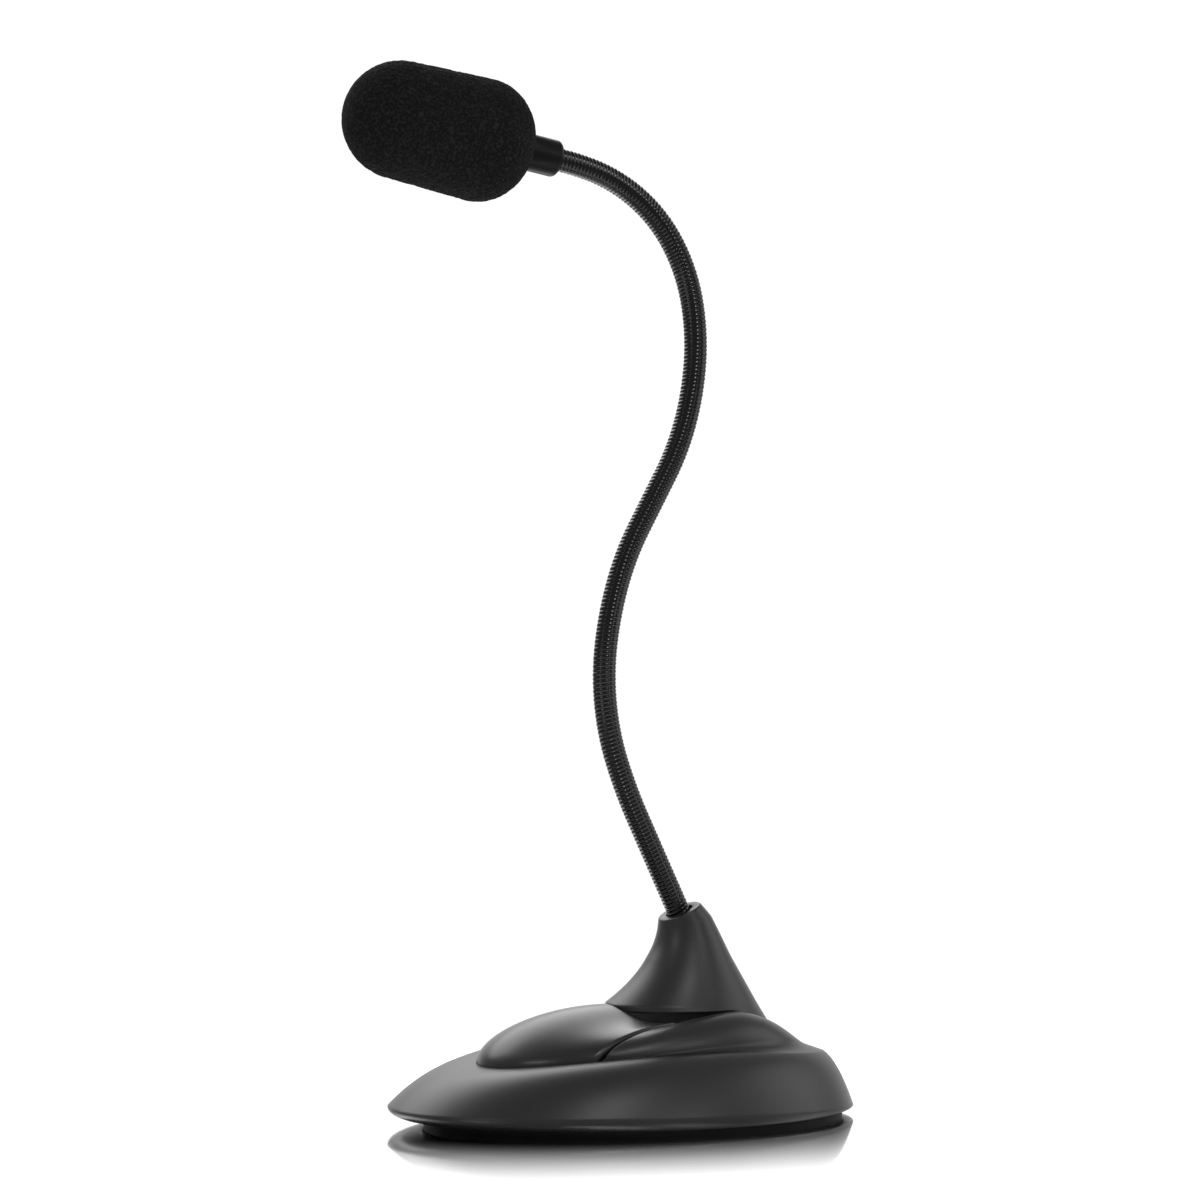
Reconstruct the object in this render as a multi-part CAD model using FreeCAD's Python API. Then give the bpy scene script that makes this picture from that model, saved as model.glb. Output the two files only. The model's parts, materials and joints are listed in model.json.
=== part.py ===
import FreeCAD
import Part

import os
from math import atan2, cos, degrees, pi, radians, sin
from FreeCAD import Placement, Rotation, Vector

# Desktop gooseneck microphone, millimetres, +Z up. The origin is at table level under
# the middle of the base. The microphone leans and points towards -Y; the lead leaves
# the base towards +Y. Everything is symmetric about the plane x = 0.

# ---------------------------------------------------------------- driving dimensions
BASE_LENGTH = 121.4        # widest outline of the base, along Y
BASE_WIDTH = 84.0          # and along X
PAD_THICKNESS = 1.6        # non-slip pad under the base
WALL = 2.2                 # moulded wall of the base

CREASE_WIDTH = 56.0        # line where the upper dome rises out of the skirt
CREASE_LENGTH = 88.4
CREASE_CENTRE_Y = 6.1
RIDGE_WIDTH = 37.0         # top line of the dome and of the rear lobes
RIDGE_LENGTH = 45.0
RIDGE_CENTRE_Y = 18.0
LAND_Z = 21.0              # flat land inside the ridge that the cone stands on
LAND_WIDTH = 25.0
LAND_LENGTH = 33.0
LAND_CENTRE_Y = 19.5
GROOVE = 0.5               # gap between front dome and rear lobes

CONE_TOP = (15.45, 51.0)   # y and z of the middle of the cone's rim
CONE_TOP_RADIUS = 5.8
CONE_TOP_LEAN = 23.0       # degrees, towards the front
CONE_BORE = 3.5            # radius of the mouth around the neck
CONE_WALL = 1.8

NECK_RADIUS = 2.8          # outside of the wound neck
NECK_BORE = 1.5            # inside of the neck, filled by the microphone lead
NECK_START = (13.88, 53.8)  # y and z where the bent length begins
NECK_LEAN = 25.6           # lean of its first stretch from the vertical, degrees
NECK_STUB = 8.0            # straight stretch before the first joint and after the last
NECK_PITCH = 15.0          # arc length between joints
NECK_SUNK = 22.0           # neck hidden in the cone below NECK_START
NECK_TAIL = 5.0            # neck hidden in the barrel past its last stub
LINK_TURNS = (0, -7, -13, -13, -9.5, -12, 0, 13, 12, 14.5, 19.5, 22.5, 21)
END_TURN = 5.9             # turn of the last stub
BALL_GAP = 0.1             # clearance between one link's ball end and the next one's cup

BARREL_RADIUS = 4.6        # microphone barrel and the sleeve in front of it
BARREL_LENGTH = 30.0       # distance of its front end from the neck's end
BARREL_BACK = 0.8          # its rear end starts this far along the head
FOAM_START = 8.7           # along the head, from the neck's end
FOAM_LENGTH = 48.9
FOAM_RADIUS = 15.6         # at the neck end
FOAM_TAPER = 1.8           # its radius is this much less at the front
FOAM_CAP = 13.8            # depth of the rounded ends
CAPSULE_RADIUS = 3.0       # 6 mm microphone capsule
CAPSULE_LENGTH = 7.0       # sleeve's length in front of the barrel

PLATE_THICKNESS = 1.8      # metal bottom plate, flush inside the shell's lower edge
PLATE_CENTRE_Y = 3.25
PLATE_HALF_X = 38.8
PLATE_HALF_Y = 53.8
PLATE_TOP = PAD_THICKNESS + PLATE_THICKNESS
BALLAST_THICKNESS = 7.0
BASE_SCREWS = [(x, y) for y in (-20.0, 30.0) for x in (-28.0, 28.0)]
BALLAST_SCREWS = [(0.0, -24.0), (0.0, 24.0)]
CONE_SCREWS = [(-9.0, 18.0), (9.0, 18.0)]
SCREW_RADIUS = 1.25
SCREW_HEAD_RADIUS = 2.5

SOCKET_DEPTH = 12.5        # from NECK_START down the neck to the metal socket's flange
SOCKET_RADIUS = 4.2
WEB_THICKNESS = 3.0        # wall inside the cone that carries the socket

GROMMET_Z = 7.2            # height of the lead's way out
GROMMET_RADIUS = 3.0
GROMMET_SEAT_Y = 57.0      # flat around the hole in the shell
LEAD_HOLE = 2.1            # radius of the hole through the grommet
LEAD_RADIUS = 1.3          # the lead inside the base
LEAD_ROUTE = [(23.4, 34.0), (30.1, 20.0), (44.0, GROMMET_Z), (50.5, GROMMET_Z)]

UP = Vector(0, 0, 1)
SECTION_POINTS = 28        # points that carry each closed section of the base


# ---------------------------------------------------------------- helpers
def save(node, shape):
    """Write one node's STEP file and print its volume."""
    os.makedirs("parts", exist_ok=True)
    solids = shape.Solids
    body = solids[0] if len(solids) == 1 else Part.makeCompound(solids)
    print(f"{node:22s} solids {len(solids)} valid {body.isValid()} volume {body.Volume:9.1f}")
    body.exportStep(f"parts/{node}.step")


def loop(point):
    """Smooth closed wire through point(angle); angle 0 is the front, 90 degrees +X."""
    curve = Part.BSplineCurve()
    angles = [2 * pi * k / SECTION_POINTS for k in range(SECTION_POINTS)]
    curve.interpolate(Points=[point(a) for a in angles], PeriodicFlag=True)
    return Part.Wire([curve.toShape()])


def oval(centre_y, half_x, half_y, z):
    """Level oval wire."""
    return loop(lambda a: Vector(half_x * sin(a), centre_y - half_y * cos(a), z))


def loft(wires):
    return Part.makeLoft(wires, True, False)


def oval_disc(centre_y, half_x, half_y, z, height):
    return Part.Face(oval(centre_y, half_x, half_y, z)).extrude(Vector(0, 0, height))


def rod(radius, length, start, direction=UP):
    return Part.makeCylinder(radius, length, start, direction)


def smooth(x, low, high):
    """0 below low, 1 above high and an S-curve between."""
    u = min(max((x - low) / (high - low), 0.0), 1.0)
    return u * u * (3 - 2 * u)


# ---------------------------------------------------------------- base surfaces
def girth(a, inset=0.0):
    """Widest outline of the base: it dips towards the rear."""
    z = 3.9 + 1.4 * cos(a) - 0.6 * cos(2 * a)
    half_x, half_y = BASE_WIDTH / 2 - inset, BASE_LENGTH / 2 - inset
    return Vector(half_x * sin(a), -half_y * cos(a), z + (0.8 - 0.2 * cos(a)) * inset)


def crease(a, inset=0.0):
    z = 17.0 - 0.9 * cos(a) - 1.6 * cos(2 * a)
    half_x, half_y = CREASE_WIDTH / 2 - inset, CREASE_LENGTH / 2 - inset
    return Vector(half_x * sin(a), CREASE_CENTRE_Y - half_y * cos(a), z - inset)


def ridge(a, inset=0.0):
    """Highest line of the dome: 28.5 mm at the front, lowest behind the cone."""
    z = 25.2 + 2.1 * cos(a) - 0.95 * cos(2 * a) + 1.4 * cos(3 * a) + 0.75 * cos(4 * a)
    x, y = RIDGE_WIDTH / 2 * sin(a), RIDGE_CENTRE_Y - RIDGE_LENGTH / 2 * cos(a)
    return Vector(x, y, z - inset)


def skirt_point(a, u, inset):
    """u runs from 0 at the girth to 1 at the crease: steep first, then flattening."""
    low, high = girth(a, inset), crease(a, inset)
    p = low + (high - low) * u
    p.z = low.z + (high.z - low.z) * (1 - (1 - u) ** 2.2)
    return p


def dome_point(a, u, inset):
    """u runs from 0 at the crease to 1 at the ridge: a quarter ellipse, hollow at the rear."""
    low, high = crease(a, inset), ridge(a, inset)
    off_front = degrees(atan2(abs(sin(a)), cos(a)))
    rear = smooth(off_front, 120, 170)
    along = (1 - rear) * (1 - cos(u * pi / 2)) + rear * u
    rise = (1 - rear) * sin(u * pi / 2) ** 1.12 + rear * u ** 1.4
    p = low + (high - low) * along
    p.z = low.z + (high.z - low.z) * rise
    return p


def zone(point, steps, inset):
    """Band of the base between two of its lines, through point(angle, u, inset)."""
    rows = [loop(lambda a, k=k: point(a, k / steps, inset)) for k in range(steps + 1)]
    return Part.makeLoft(rows, False, False).Faces


def rim_point(a, u, inset):
    """Undercut band below the girth: u is 0 at the bottom edge and 1 at the girth."""
    low = Vector((41.0 - inset) * sin(a), 3.25 - (56.0 - inset) * cos(a), PAD_THICKNESS + inset)
    high = girth(a, inset)
    p = high + (low - high) * (1 - sin(u * pi / 2))
    p.z = low.z + (high.z - low.z) * (1 - cos(u * pi / 2))
    return p


def inner_point(a, u, inset):
    """Slope from the ridge down to the land: u is 0 at the ridge."""
    high = ridge(a, inset)
    x, y = (LAND_WIDTH / 2 + inset) * sin(a), LAND_CENTRE_Y - (LAND_LENGTH / 2 + inset) * cos(a)
    low = Vector(x, y, LAND_Z - inset)
    p = high + (low - high) * u
    p.z = low.z + (high.z - low.z) * (1 + cos(u * pi)) / 2
    return p


def base_body(inset=0.0):
    """The whole moulded base as one solid, drawn in by inset on every side."""
    faces = zone(rim_point, 4, inset) + zone(skirt_point, 7, inset)
    faces += zone(dome_point, 7, inset) + zone(inner_point, 4, inset)
    bottom = loop(lambda a: rim_point(a, 0, inset))
    land = loop(lambda a: inner_point(a, 1, inset))
    faces += [Part.Face(bottom), Part.Face(land)]
    shell = Part.makeShell(faces)
    shell.sewShape()
    body = Part.Solid(shell)
    if body.Volume < 0:
        body.reverse()
    return body


def front_region(gap):
    """Upright prism over the front dome: just inside the crease, with the grooves as sides."""
    turn = radians(57)
    lip = 0.8 + gap / 2
    groove = [crease(turn, lip), Vector(23.0, -14.0, 0), Vector(20.9, -6.5, 0), Vector(18.7, 0.1, 0),
              Vector(16.2, 7.1, 0)]
    groove = [Vector(p.x - gap, p.y - gap / 2, 10) for p in groove]
    end = Vector(12.0, 6.0, 10)
    mirror = [Vector(-p.x, p.y, p.z) for p in groove]
    front = [crease(turn * k / 6, lip) for k in range(-6, 7)]
    front = [mirror[0]] + [Vector(p.x, p.y, 10) for p in front[1:-1]] + [groove[0]]
    curves = []
    for points in (front, groove, mirror[::-1]):
        curve = Part.BSplineCurve()
        curve.interpolate(Points=points)
        curves.append(curve.toShape())
    far_end = Vector(-end.x, end.y, end.z)
    edges = [curves[0], curves[1], Part.makeLine(groove[-1], end), Part.makeLine(end, far_end),
             Part.makeLine(far_end, mirror[-1]), curves[2]]
    return Part.Face(Part.Wire(edges)).extrude(Vector(0, 0, 30))


# ---------------------------------------------------------------- neck cone
def cone_section(drop, inset):
    """Section of the cone, drop millimetres below its rim; it levels out as it goes down."""
    lean = radians(CONE_TOP_LEAN) * max(0.0, 1 - drop / 12.0) ** 1.5
    front = 10.0 - 13.7 * (min(drop, 22.6) / 22.6) ** 2.5 + inset
    rear = 21.0 + 0.59 * drop + 1.1 * min(drop, 3.0) / 3.0 - inset
    half_x = CONE_TOP_RADIUS + 0.30 * drop + 0.0045 * drop ** 2 - inset
    middle, half_y, z = (front + rear) / 2, (rear - front) / 2, CONE_TOP[1] - drop

    def point(a):
        out = -half_y * cos(a)
        return Vector(half_x * sin(a), middle + out * cos(lean), z + out * sin(lean))
    return loop(point)


def cone_body(inset=0.0, top=0.0):
    return loft([cone_section(d, inset) for d in (top, 2.5, 6, 10, 14, 18, 22, 26, 29.6)])


# ---------------------------------------------------------------- neck route
class Link:
    """One stretch of the neck in the plane x = 0: start, lean, length and turn (radians)."""

    def __init__(self, start, lean, length, turn):
        self.start, self.lean, self.length, self.turn = start, lean, length, turn

    def at(self, s):
        """Point s along the link, and the direction there."""
        swept = self.turn * s / self.length
        if abs(self.turn) < 1e-6:
            step = (-sin(self.lean) * s, cos(self.lean) * s)
        else:
            radius = self.length / self.turn
            end = self.lean + swept
            step = ((cos(end) - cos(self.lean)) * radius, (sin(end) - sin(self.lean)) * radius)
        lean = self.lean + swept
        point = Vector(0, self.start.y + step[0], self.start.z + step[1])
        return point, Vector(0, -sin(lean), cos(lean))

    def tube(self, outer, s0=0.0, s1=None):
        """Round solid of the given radius along the link from s0 to s1."""
        s1 = self.length if s1 is None else s1
        start, direction = self.at(s0)
        if abs(self.turn) < 1e-6:
            return rod(outer, s1 - s0, start, direction)
        section = Part.Face(Part.Wire(Part.makeCircle(outer, start, direction)))
        radius = self.length / self.turn
        side = Vector(0, -cos(self.lean), -sin(self.lean))
        centre = self.start + side * radius
        return section.revolve(centre, Vector(1, 0, 0), degrees(self.turn * (s1 - s0) / self.length))


def neck_links():
    lean = radians(NECK_LEAN)
    start = Vector(0, NECK_START[0], NECK_START[1])
    spans = [(NECK_STUB, 0.0)] + [(NECK_PITCH, t) for t in LINK_TURNS] + [(NECK_STUB, END_TURN)]
    links = []
    for length, turn in spans:
        links.append(Link(start, lean, length, radians(turn)))
        start = links[-1].at(length)[0]
        lean += radians(turn)
    return links, start, lean


LINKS, HEAD_START, HEAD_LEAN = neck_links()
HEAD_AXIS = Vector(0, -sin(HEAD_LEAN), cos(HEAD_LEAN))
SINK_AXIS = Vector(0, sin(radians(NECK_LEAN)), -cos(radians(NECK_LEAN)))


def link_blank(number, radius):
    """Solid stretch of neck: ball at its lower joint, ball-shaped cup at its upper joint."""
    link = LINKS[number]
    blank = link.tube(radius)
    if number > 0:
        ball = Part.makeSphere(NECK_RADIUS, link.start)
        core = rod(radius, NECK_RADIUS * 2, link.start - link.at(0)[1] * NECK_RADIUS * 2, link.at(0)[1])
        blank = blank.fuse(ball.common(core) if radius < NECK_RADIUS else ball).removeSplitter()
    else:
        blank = blank.fuse(rod(radius, NECK_SUNK, link.start, SINK_AXIS))
    end, direction = link.at(link.length)
    if number < len(LINKS) - 1:
        return blank.cut(Part.makeSphere(NECK_RADIUS + BALL_GAP, end))
    return blank.fuse(rod(radius, NECK_TAIL, end, direction))


def bore_blank(number):
    """What is taken out of a link for the lead, past both of its ends."""
    link = LINKS[number]
    reach = NECK_RADIUS * 2
    hole = link.tube(NECK_BORE)
    before, after = link.at(0), link.at(link.length)
    hole = hole.fuse(rod(NECK_BORE, NECK_SUNK + 1 if number == 0 else reach, before[0], before[1] * -1))
    return hole.fuse(rod(NECK_BORE, reach, after[0], after[1]))


def make_neck():
    for number in range(len(LINKS)):
        save(f"gooseneck_link_{number:02d}", link_blank(number, NECK_RADIUS).cut(bore_blank(number)))
        save(f"mic_lead_{number:02d}", link_blank(number, NECK_BORE))


# ---------------------------------------------------------------- head
def along(s):
    return HEAD_START + HEAD_AXIS * s


def turned(profile):
    """Solid of revolution about the head's axis from (distance along it, radius) points."""
    points = [Vector(r, 0, s) for s, r in profile]
    face = Part.Face(Part.makePolygon(points + points[:1]))
    solid = face.revolve(Vector(0, 0, 0), UP, 360)
    solid.Placement = Placement(HEAD_START, Rotation(UP, HEAD_AXIS))
    return solid


def foam_radius(s):
    """Foam outline over its length: elliptical ends and a slight taper towards the front."""
    near_end = min(s, FOAM_LENGTH - s, FOAM_CAP)
    cap = 1 - (1 - near_end / FOAM_CAP) ** 2
    return (FOAM_RADIUS - FOAM_TAPER * s / FOAM_LENGTH) * cap ** 0.5


def make_head():
    outer = BARREL_RADIUS
    back = BARREL_BACK
    barrel = turned([(back, NECK_RADIUS), (back, 3.4), (back + 0.4, 4.2), (back + 1.4, outer),
                     (BARREL_LENGTH, outer), (BARREL_LENGTH, outer - 1), (2.5, outer - 1), (2.5, NECK_RADIUS)])
    save("mic_barrel", barrel)
    clamp_end = 2.5
    save("neck_clamp_ring", turned([(clamp_end, NECK_RADIUS), (clamp_end, outer - 1),
                                    (7, outer - 1), (7, NECK_RADIUS)]))
    front = BARREL_LENGTH
    end = front + CAPSULE_LENGTH
    save("capsule_sleeve", turned([(front - 6, 2.4), (front - 6, outer - 1), (front, outer - 1),
                                   (front, outer), (end, outer), (end, CAPSULE_RADIUS),
                                   (front + 0.8, CAPSULE_RADIUS), (front + 0.8, 2.4)]))
    low = front + 0.8
    can, lip = CAPSULE_RADIUS, 2.0
    save("capsule_can", turned([(low, 1.2), (low, can), (low + 5, can), (low + 5, lip), (low + 4.6, lip),
                                (low + 4.6, can - 0.4), (low + 0.8, can - 0.4), (low + 0.8, 1.2)]))
    save("capsule_backplate", turned([(low + 0.8, 0), (low + 0.8, can - 0.4),
                                      (low + 3, can - 0.4), (low + 3, 0)]))
    save("capsule_felt", turned([(low + 5, 0), (low + 5, can - 0.1), (low + 5.7, can - 0.1), (low + 5.7, 0)]))
    board = Part.makeBox(6.0, 1.2, 15.0, Vector(-3.0, -0.6, 8.0))
    board.Placement = Placement(HEAD_START, Rotation(UP, HEAD_AXIS))
    save("capsule_board", board)


def make_windscreen():
    steps = 22
    ends = [FOAM_LENGTH * (1 - cos(pi * k / steps)) / 2 for k in range(steps + 1)]
    arc = Part.BSplineCurve()
    mouth = BARREL_RADIUS + 0.1
    rim = next(s for s in [0.01 * k for k in range(400)] if foam_radius(s) > mouth)
    inside = [s for s in ends if s > rim + 0.4]
    outline = [Vector(mouth, 0, FOAM_START + rim)]
    outline += [Vector(foam_radius(s), 0, FOAM_START + s) for s in inside]
    arc.interpolate(Points=outline)
    tip = outline[-1]
    bore_end = BARREL_LENGTH + CAPSULE_LENGTH + 0.4
    bore = [Vector(0, 0, tip.z), Vector(0, 0, bore_end), Vector(mouth, 0, bore_end), outline[0]]
    edges = [arc.toShape()] + [Part.makeLine(a, b) for a, b in zip(bore, bore[1:]) if (b - a).Length > 1e-6]
    foam = Part.Face(Part.Wire(edges)).revolve(Vector(0, 0, 0), UP, 360)
    foam.Placement = Placement(HEAD_START, Rotation(UP, HEAD_AXIS))
    save("foam_windscreen", foam)


# ---------------------------------------------------------------- base pieces
def screw(x, y, z, length):
    """Countersunk cross-head screw, head down, with its head flush at height z."""
    point = Vector(x, y, z)
    sunk = SCREW_HEAD_RADIUS - SCREW_RADIUS
    body = Part.makeCone(SCREW_HEAD_RADIUS, SCREW_RADIUS, sunk, point).fuse(rod(SCREW_RADIUS, length, point))
    for wide, deep in ((2.6, 0.6), (0.6, 2.6)):
        body = body.cut(Part.makeBox(wide, deep, 0.8, point - Vector(wide / 2, deep / 2, 0)))
    return body


def screw_hole(x, y, z, length):
    point = Vector(x, y, z)
    sunk = SCREW_HEAD_RADIUS - SCREW_RADIUS
    return Part.makeCone(SCREW_HEAD_RADIUS, SCREW_RADIUS, sunk, point).fuse(rod(SCREW_RADIUS, length, point))


def make_shell():
    """Moulded base in two pieces: the shell with its rear lobes, and the front dome."""
    outer, hollow = base_body(), base_body(WALL)
    wall = outer.cut(hollow)
    shell = wall.cut(front_region(0.0))
    shell = shell.cut(oval_disc(PLATE_CENTRE_Y, PLATE_HALF_X, PLATE_HALF_Y, 0, PLATE_TOP + 1.5))
    for x, y in BASE_SCREWS:
        boss = rod(3.2, 20, Vector(x, y, PLATE_TOP)).common(outer)
        shell = shell.fuse(boss).cut(rod(SCREW_RADIUS, 8, Vector(x, y, PLATE_TOP)))
    shell = shell.cut(rod(4.2, 12, Vector(0, LEAD_ROUTE[1][0], 14)))
    for x, y in CONE_SCREWS:
        shell = shell.cut(screw_hole(x, y, LAND_Z - WALL, WALL + 1))
    seat = Vector(0, GROMMET_SEAT_Y, GROMMET_Z)
    shell = shell.cut(rod(4.4, 8, seat, Vector(0, 1, 0)))
    shell = shell.cut(rod(GROMMET_RADIUS, 8, seat - Vector(0, 6, 0), Vector(0, 1, 0)))
    save("base_shell", shell)
    save("front_dome", wall.common(front_region(GROOVE)))
    return outer


def make_cone(base):
    """Hollow neck cone with a web for the neck's socket and two screw bosses."""
    whole = cone_body()
    cone = whole.cut(cone_body(CONE_WALL, 2.0))
    mouth = Vector(0, NECK_START[0], NECK_START[1])
    web = rod(30, WEB_THICKNESS, mouth + SINK_AXIS * (SOCKET_DEPTH + 1.5), SINK_AXIS).common(whole)
    cone = cone.fuse(web)
    for x, y in CONE_SCREWS:
        cone = cone.fuse(rod(2.8, 15, Vector(x, y, LAND_Z)).common(whole))
    cone = cone.cut(base)
    for x, y in CONE_SCREWS:
        cone = cone.cut(rod(SCREW_RADIUS, 9, Vector(x, y, LAND_Z)))
    cone = cone.cut(rod(CONE_BORE, 14, mouth - SINK_AXIS * 4, SINK_AXIS))
    cone = cone.cut(rod(SOCKET_RADIUS, 10, mouth + SINK_AXIS * (SOCKET_DEPTH - 1), SINK_AXIS))
    save("neck_cone", cone)


def make_neck_fixing():
    """Flanged socket on the neck's lower end, held to the cone's web by washer and nut."""
    mouth = Vector(0, NECK_START[0], NECK_START[1])
    top = mouth + SINK_AXIS * SOCKET_DEPTH
    web_end = mouth + SINK_AXIS * (SOCKET_DEPTH + 1.5 + WEB_THICKNESS)
    socket = rod(5.5, 1.5, top, SINK_AXIS).fuse(rod(SOCKET_RADIUS, 9.5, top, SINK_AXIS))
    save("neck_socket", socket.cut(rod(NECK_RADIUS, 12, top - SINK_AXIS, SINK_AXIS)))
    washer = rod(5.6, 0.8, web_end, SINK_AXIS).cut(rod(SOCKET_RADIUS, 0.8, web_end, SINK_AXIS))
    save("neck_washer", washer)
    hexagon = [Vector(5.6 * cos(k * pi / 3), 5.6 * sin(k * pi / 3), 0) for k in range(6)]
    nut = Part.Face(Part.makePolygon(hexagon + hexagon[:1])).extrude(Vector(0, 0, 3))
    nut = nut.cut(rod(SOCKET_RADIUS, 3, Vector(0, 0, 0)))
    nut.Placement = Placement(web_end + SINK_AXIS * 0.8, Rotation(UP, SINK_AXIS))
    save("neck_nut", nut)


def make_bottom():
    """Bottom plate, ballast, pad and the screws that go in from below."""
    plate = oval_disc(PLATE_CENTRE_Y, PLATE_HALF_X, PLATE_HALF_Y, PAD_THICKNESS, PLATE_THICKNESS)
    ballast = oval_disc(0, 20, 38, PLATE_TOP, BALLAST_THICKNESS)
    for x, y in BASE_SCREWS + BALLAST_SCREWS:
        plate = plate.cut(screw_hole(x, y, PAD_THICKNESS, 4))
    for x, y in BALLAST_SCREWS:
        ballast = ballast.cut(rod(SCREW_RADIUS, 5, Vector(x, y, PLATE_TOP)))
    save("base_plate", plate)
    save("ballast_plate", ballast)
    save("non_slip_pad", oval_disc(PLATE_CENTRE_Y, PLATE_HALF_X + 0.6, PLATE_HALF_Y + 0.6, 0, PAD_THICKNESS))
    for number, (x, y) in enumerate(BASE_SCREWS, 1):
        save(f"base_screw_{number}", screw(x, y, PAD_THICKNESS, 9))
    for number, (x, y) in enumerate(BALLAST_SCREWS, 1):
        save(f"ballast_screw_{number}", screw(x, y, PAD_THICKNESS, 6))
    for number, (x, y) in enumerate(CONE_SCREWS, 1):
        save(f"cone_screw_{number}", screw(x, y, LAND_Z - WALL, 10))


def make_lead():
    """Lead from the neck to just short of the grommet: straight runs joined by wide arcs."""
    points = [Vector(0, y, z) for y, z in LEAD_ROUTE]
    runs = [(b - a).Length for a, b in zip(points, points[1:])]
    edges, start = [], points[0]
    for k in range(1, len(points) - 1):
        back, ahead = (points[k - 1] - points[k]).normalize(), (points[k + 1] - points[k]).normalize()
        trim = 0.45 * min(runs[k - 1], runs[k])
        half = back.getAngle(ahead) / 2
        radius = trim * sin(half) / cos(half)
        print(f"lead bend {k} radius {radius:.1f}")
        enter, leave = points[k] + back * trim, points[k] + ahead * trim
        middle = points[k] + (back + ahead).normalize() * (radius / sin(half) - radius)
        edges += [Part.makeLine(start, enter), Part.Arc(enter, middle, leave).toShape()]
        start = leave
    edges.append(Part.makeLine(start, points[-1]))
    path = Part.Wire(edges)
    first = (points[1] - points[0]).normalize()
    section = Part.Wire(Part.makeCircle(LEAD_RADIUS, points[0], first))
    save("base_lead", path.makePipeShell([section], True, False))


def make_grommet():
    """Rubber grommet in the rear wall; its hole is the lead's way out."""
    rear = Vector(0, 1, 0)
    seat = Vector(0, GROMMET_SEAT_Y, GROMMET_Z)
    grommet = rod(3.7, 1.6, seat, rear).fuse(rod(GROMMET_RADIUS, 4.4, seat - rear * 4.4, rear))
    grommet = grommet.fuse(rod(3.5, 1.2, seat - rear * 4.4, rear))
    save("lead_grommet", grommet.cut(rod(LEAD_HOLE, 12, seat - rear * 6, rear)))


if __name__ == "__main__":
    make_cone(make_shell())
    make_neck_fixing()
    make_bottom()
    make_lead()
    make_grommet()
    make_neck()
    make_head()
    make_windscreen()
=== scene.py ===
"""A desktop gooseneck microphone: moulded base, leaning neck cone, wound neck and foam windscreen."""

import json
import math

import bpy
import numpy as np
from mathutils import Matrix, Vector


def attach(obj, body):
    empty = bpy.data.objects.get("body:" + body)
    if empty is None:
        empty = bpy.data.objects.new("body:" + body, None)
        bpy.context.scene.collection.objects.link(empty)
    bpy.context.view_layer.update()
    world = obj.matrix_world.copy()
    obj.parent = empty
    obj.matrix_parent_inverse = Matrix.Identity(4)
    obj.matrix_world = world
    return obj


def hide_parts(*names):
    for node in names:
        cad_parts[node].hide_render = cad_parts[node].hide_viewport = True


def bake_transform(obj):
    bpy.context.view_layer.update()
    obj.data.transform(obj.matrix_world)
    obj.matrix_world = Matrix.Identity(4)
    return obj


bl_info = {
    "name": "Gooseneck Microphone",
    "version": (1, 0, 0),
    "blender": (4, 5, 0),
    "location": "View3D > Sidebar > Microphone",
    "description": "Builds a desktop gooseneck microphone piece by piece",
    "category": "Object",
}

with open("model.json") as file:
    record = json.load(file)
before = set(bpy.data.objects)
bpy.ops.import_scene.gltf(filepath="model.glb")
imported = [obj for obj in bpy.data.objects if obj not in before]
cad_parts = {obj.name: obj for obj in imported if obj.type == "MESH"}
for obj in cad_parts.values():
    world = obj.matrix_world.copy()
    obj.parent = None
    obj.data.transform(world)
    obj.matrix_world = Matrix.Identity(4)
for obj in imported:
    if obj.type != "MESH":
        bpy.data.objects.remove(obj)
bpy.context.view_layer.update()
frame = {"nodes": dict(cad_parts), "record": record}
HINGES = [j for j in frame["record"]["behaviour"]["joints"] if j["type"] == "hinge"]

MM = 0.001
TURN = 2 * math.pi
NECK_STUB = 0.008                       # straight neck below the first joint, and from the last to the head
NECK_STEP = 0.015                       # arc length from one joint to the next
NECK_SUNK = 0.006                       # neck inside the cone
NECK_TAIL = 0.004                       # neck inside the barrel
WIDE_SHARE = 0.54                       # share of the winding's pitch that the wide wire takes
NARROW_HEIGHT = 0.8                     # the narrow wire's squared sine against the wide one's
HOLLOW_START, HOLLOW_END = 120, 170     # degrees from the front over which the dome turns hollow
FRONT_START, FRONT_END = 62, 76         # degrees from the front over which the seat's extra depth fades out
BOTTOM_HALF_X, BOTTOM_HALF_Y = 0.041, 0.056     # the base's bottom edge
BOTTOM_Y, BOTTOM_Z = 0.00325, 0.0016
LAND_HALF_X, LAND_HALF_Y = 0.0125, 0.0165       # the land that the cone stands on
LAND_Y, LAND_Z = 0.0195, 0.021
CONE_TOP, CONE_DROP = 51.0, 24.2        # millimetres: height of the cone's rim, and its foot edge below that
FOAM_START, FOAM_SPAN = 0.0087, 0.0489  # the windscreen's neck end past the head's point, and its length
FOAM_RADIUS, FOAM_TAPER, FOAM_CAP = 0.0156, 0.0018, 0.0138
FOAM_BORE, FOAM_BORE_END = 0.0047, 0.0374
LAMPS = (                               # name, azimuth, elevation, distance, size in metres, watts
    ("left softbox", 20, 30, 0.9, (0.22, 0.12), 0.5),
    ("right softbox", 115, 30, 0.9, (0.22, 0.12), 0.5),
    ("right strip", 88, 50, 0.9, (0.13, 0.25), 1.1),
    ("nose panel", -55, 40, 1.2, (1.0, 0.8), 0.9),
    ("top panel", 275, 40, 1.3, (1.6, 0.7), 8.5),
    ("rear panel", 168, 24, 1.2, (0.7, 0.7), 2.0),
)


# ---------------------------------------------------------------- sizes and colours
def length(name, description, default):
    """A length property, in metres."""
    return bpy.props.FloatProperty(name=name, description=description, default=default, unit="LENGTH")


def factor(name, description, default):
    return bpy.props.FloatProperty(
        name=name, description=description, default=default, min=0, max=1, subtype="FACTOR")


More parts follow.
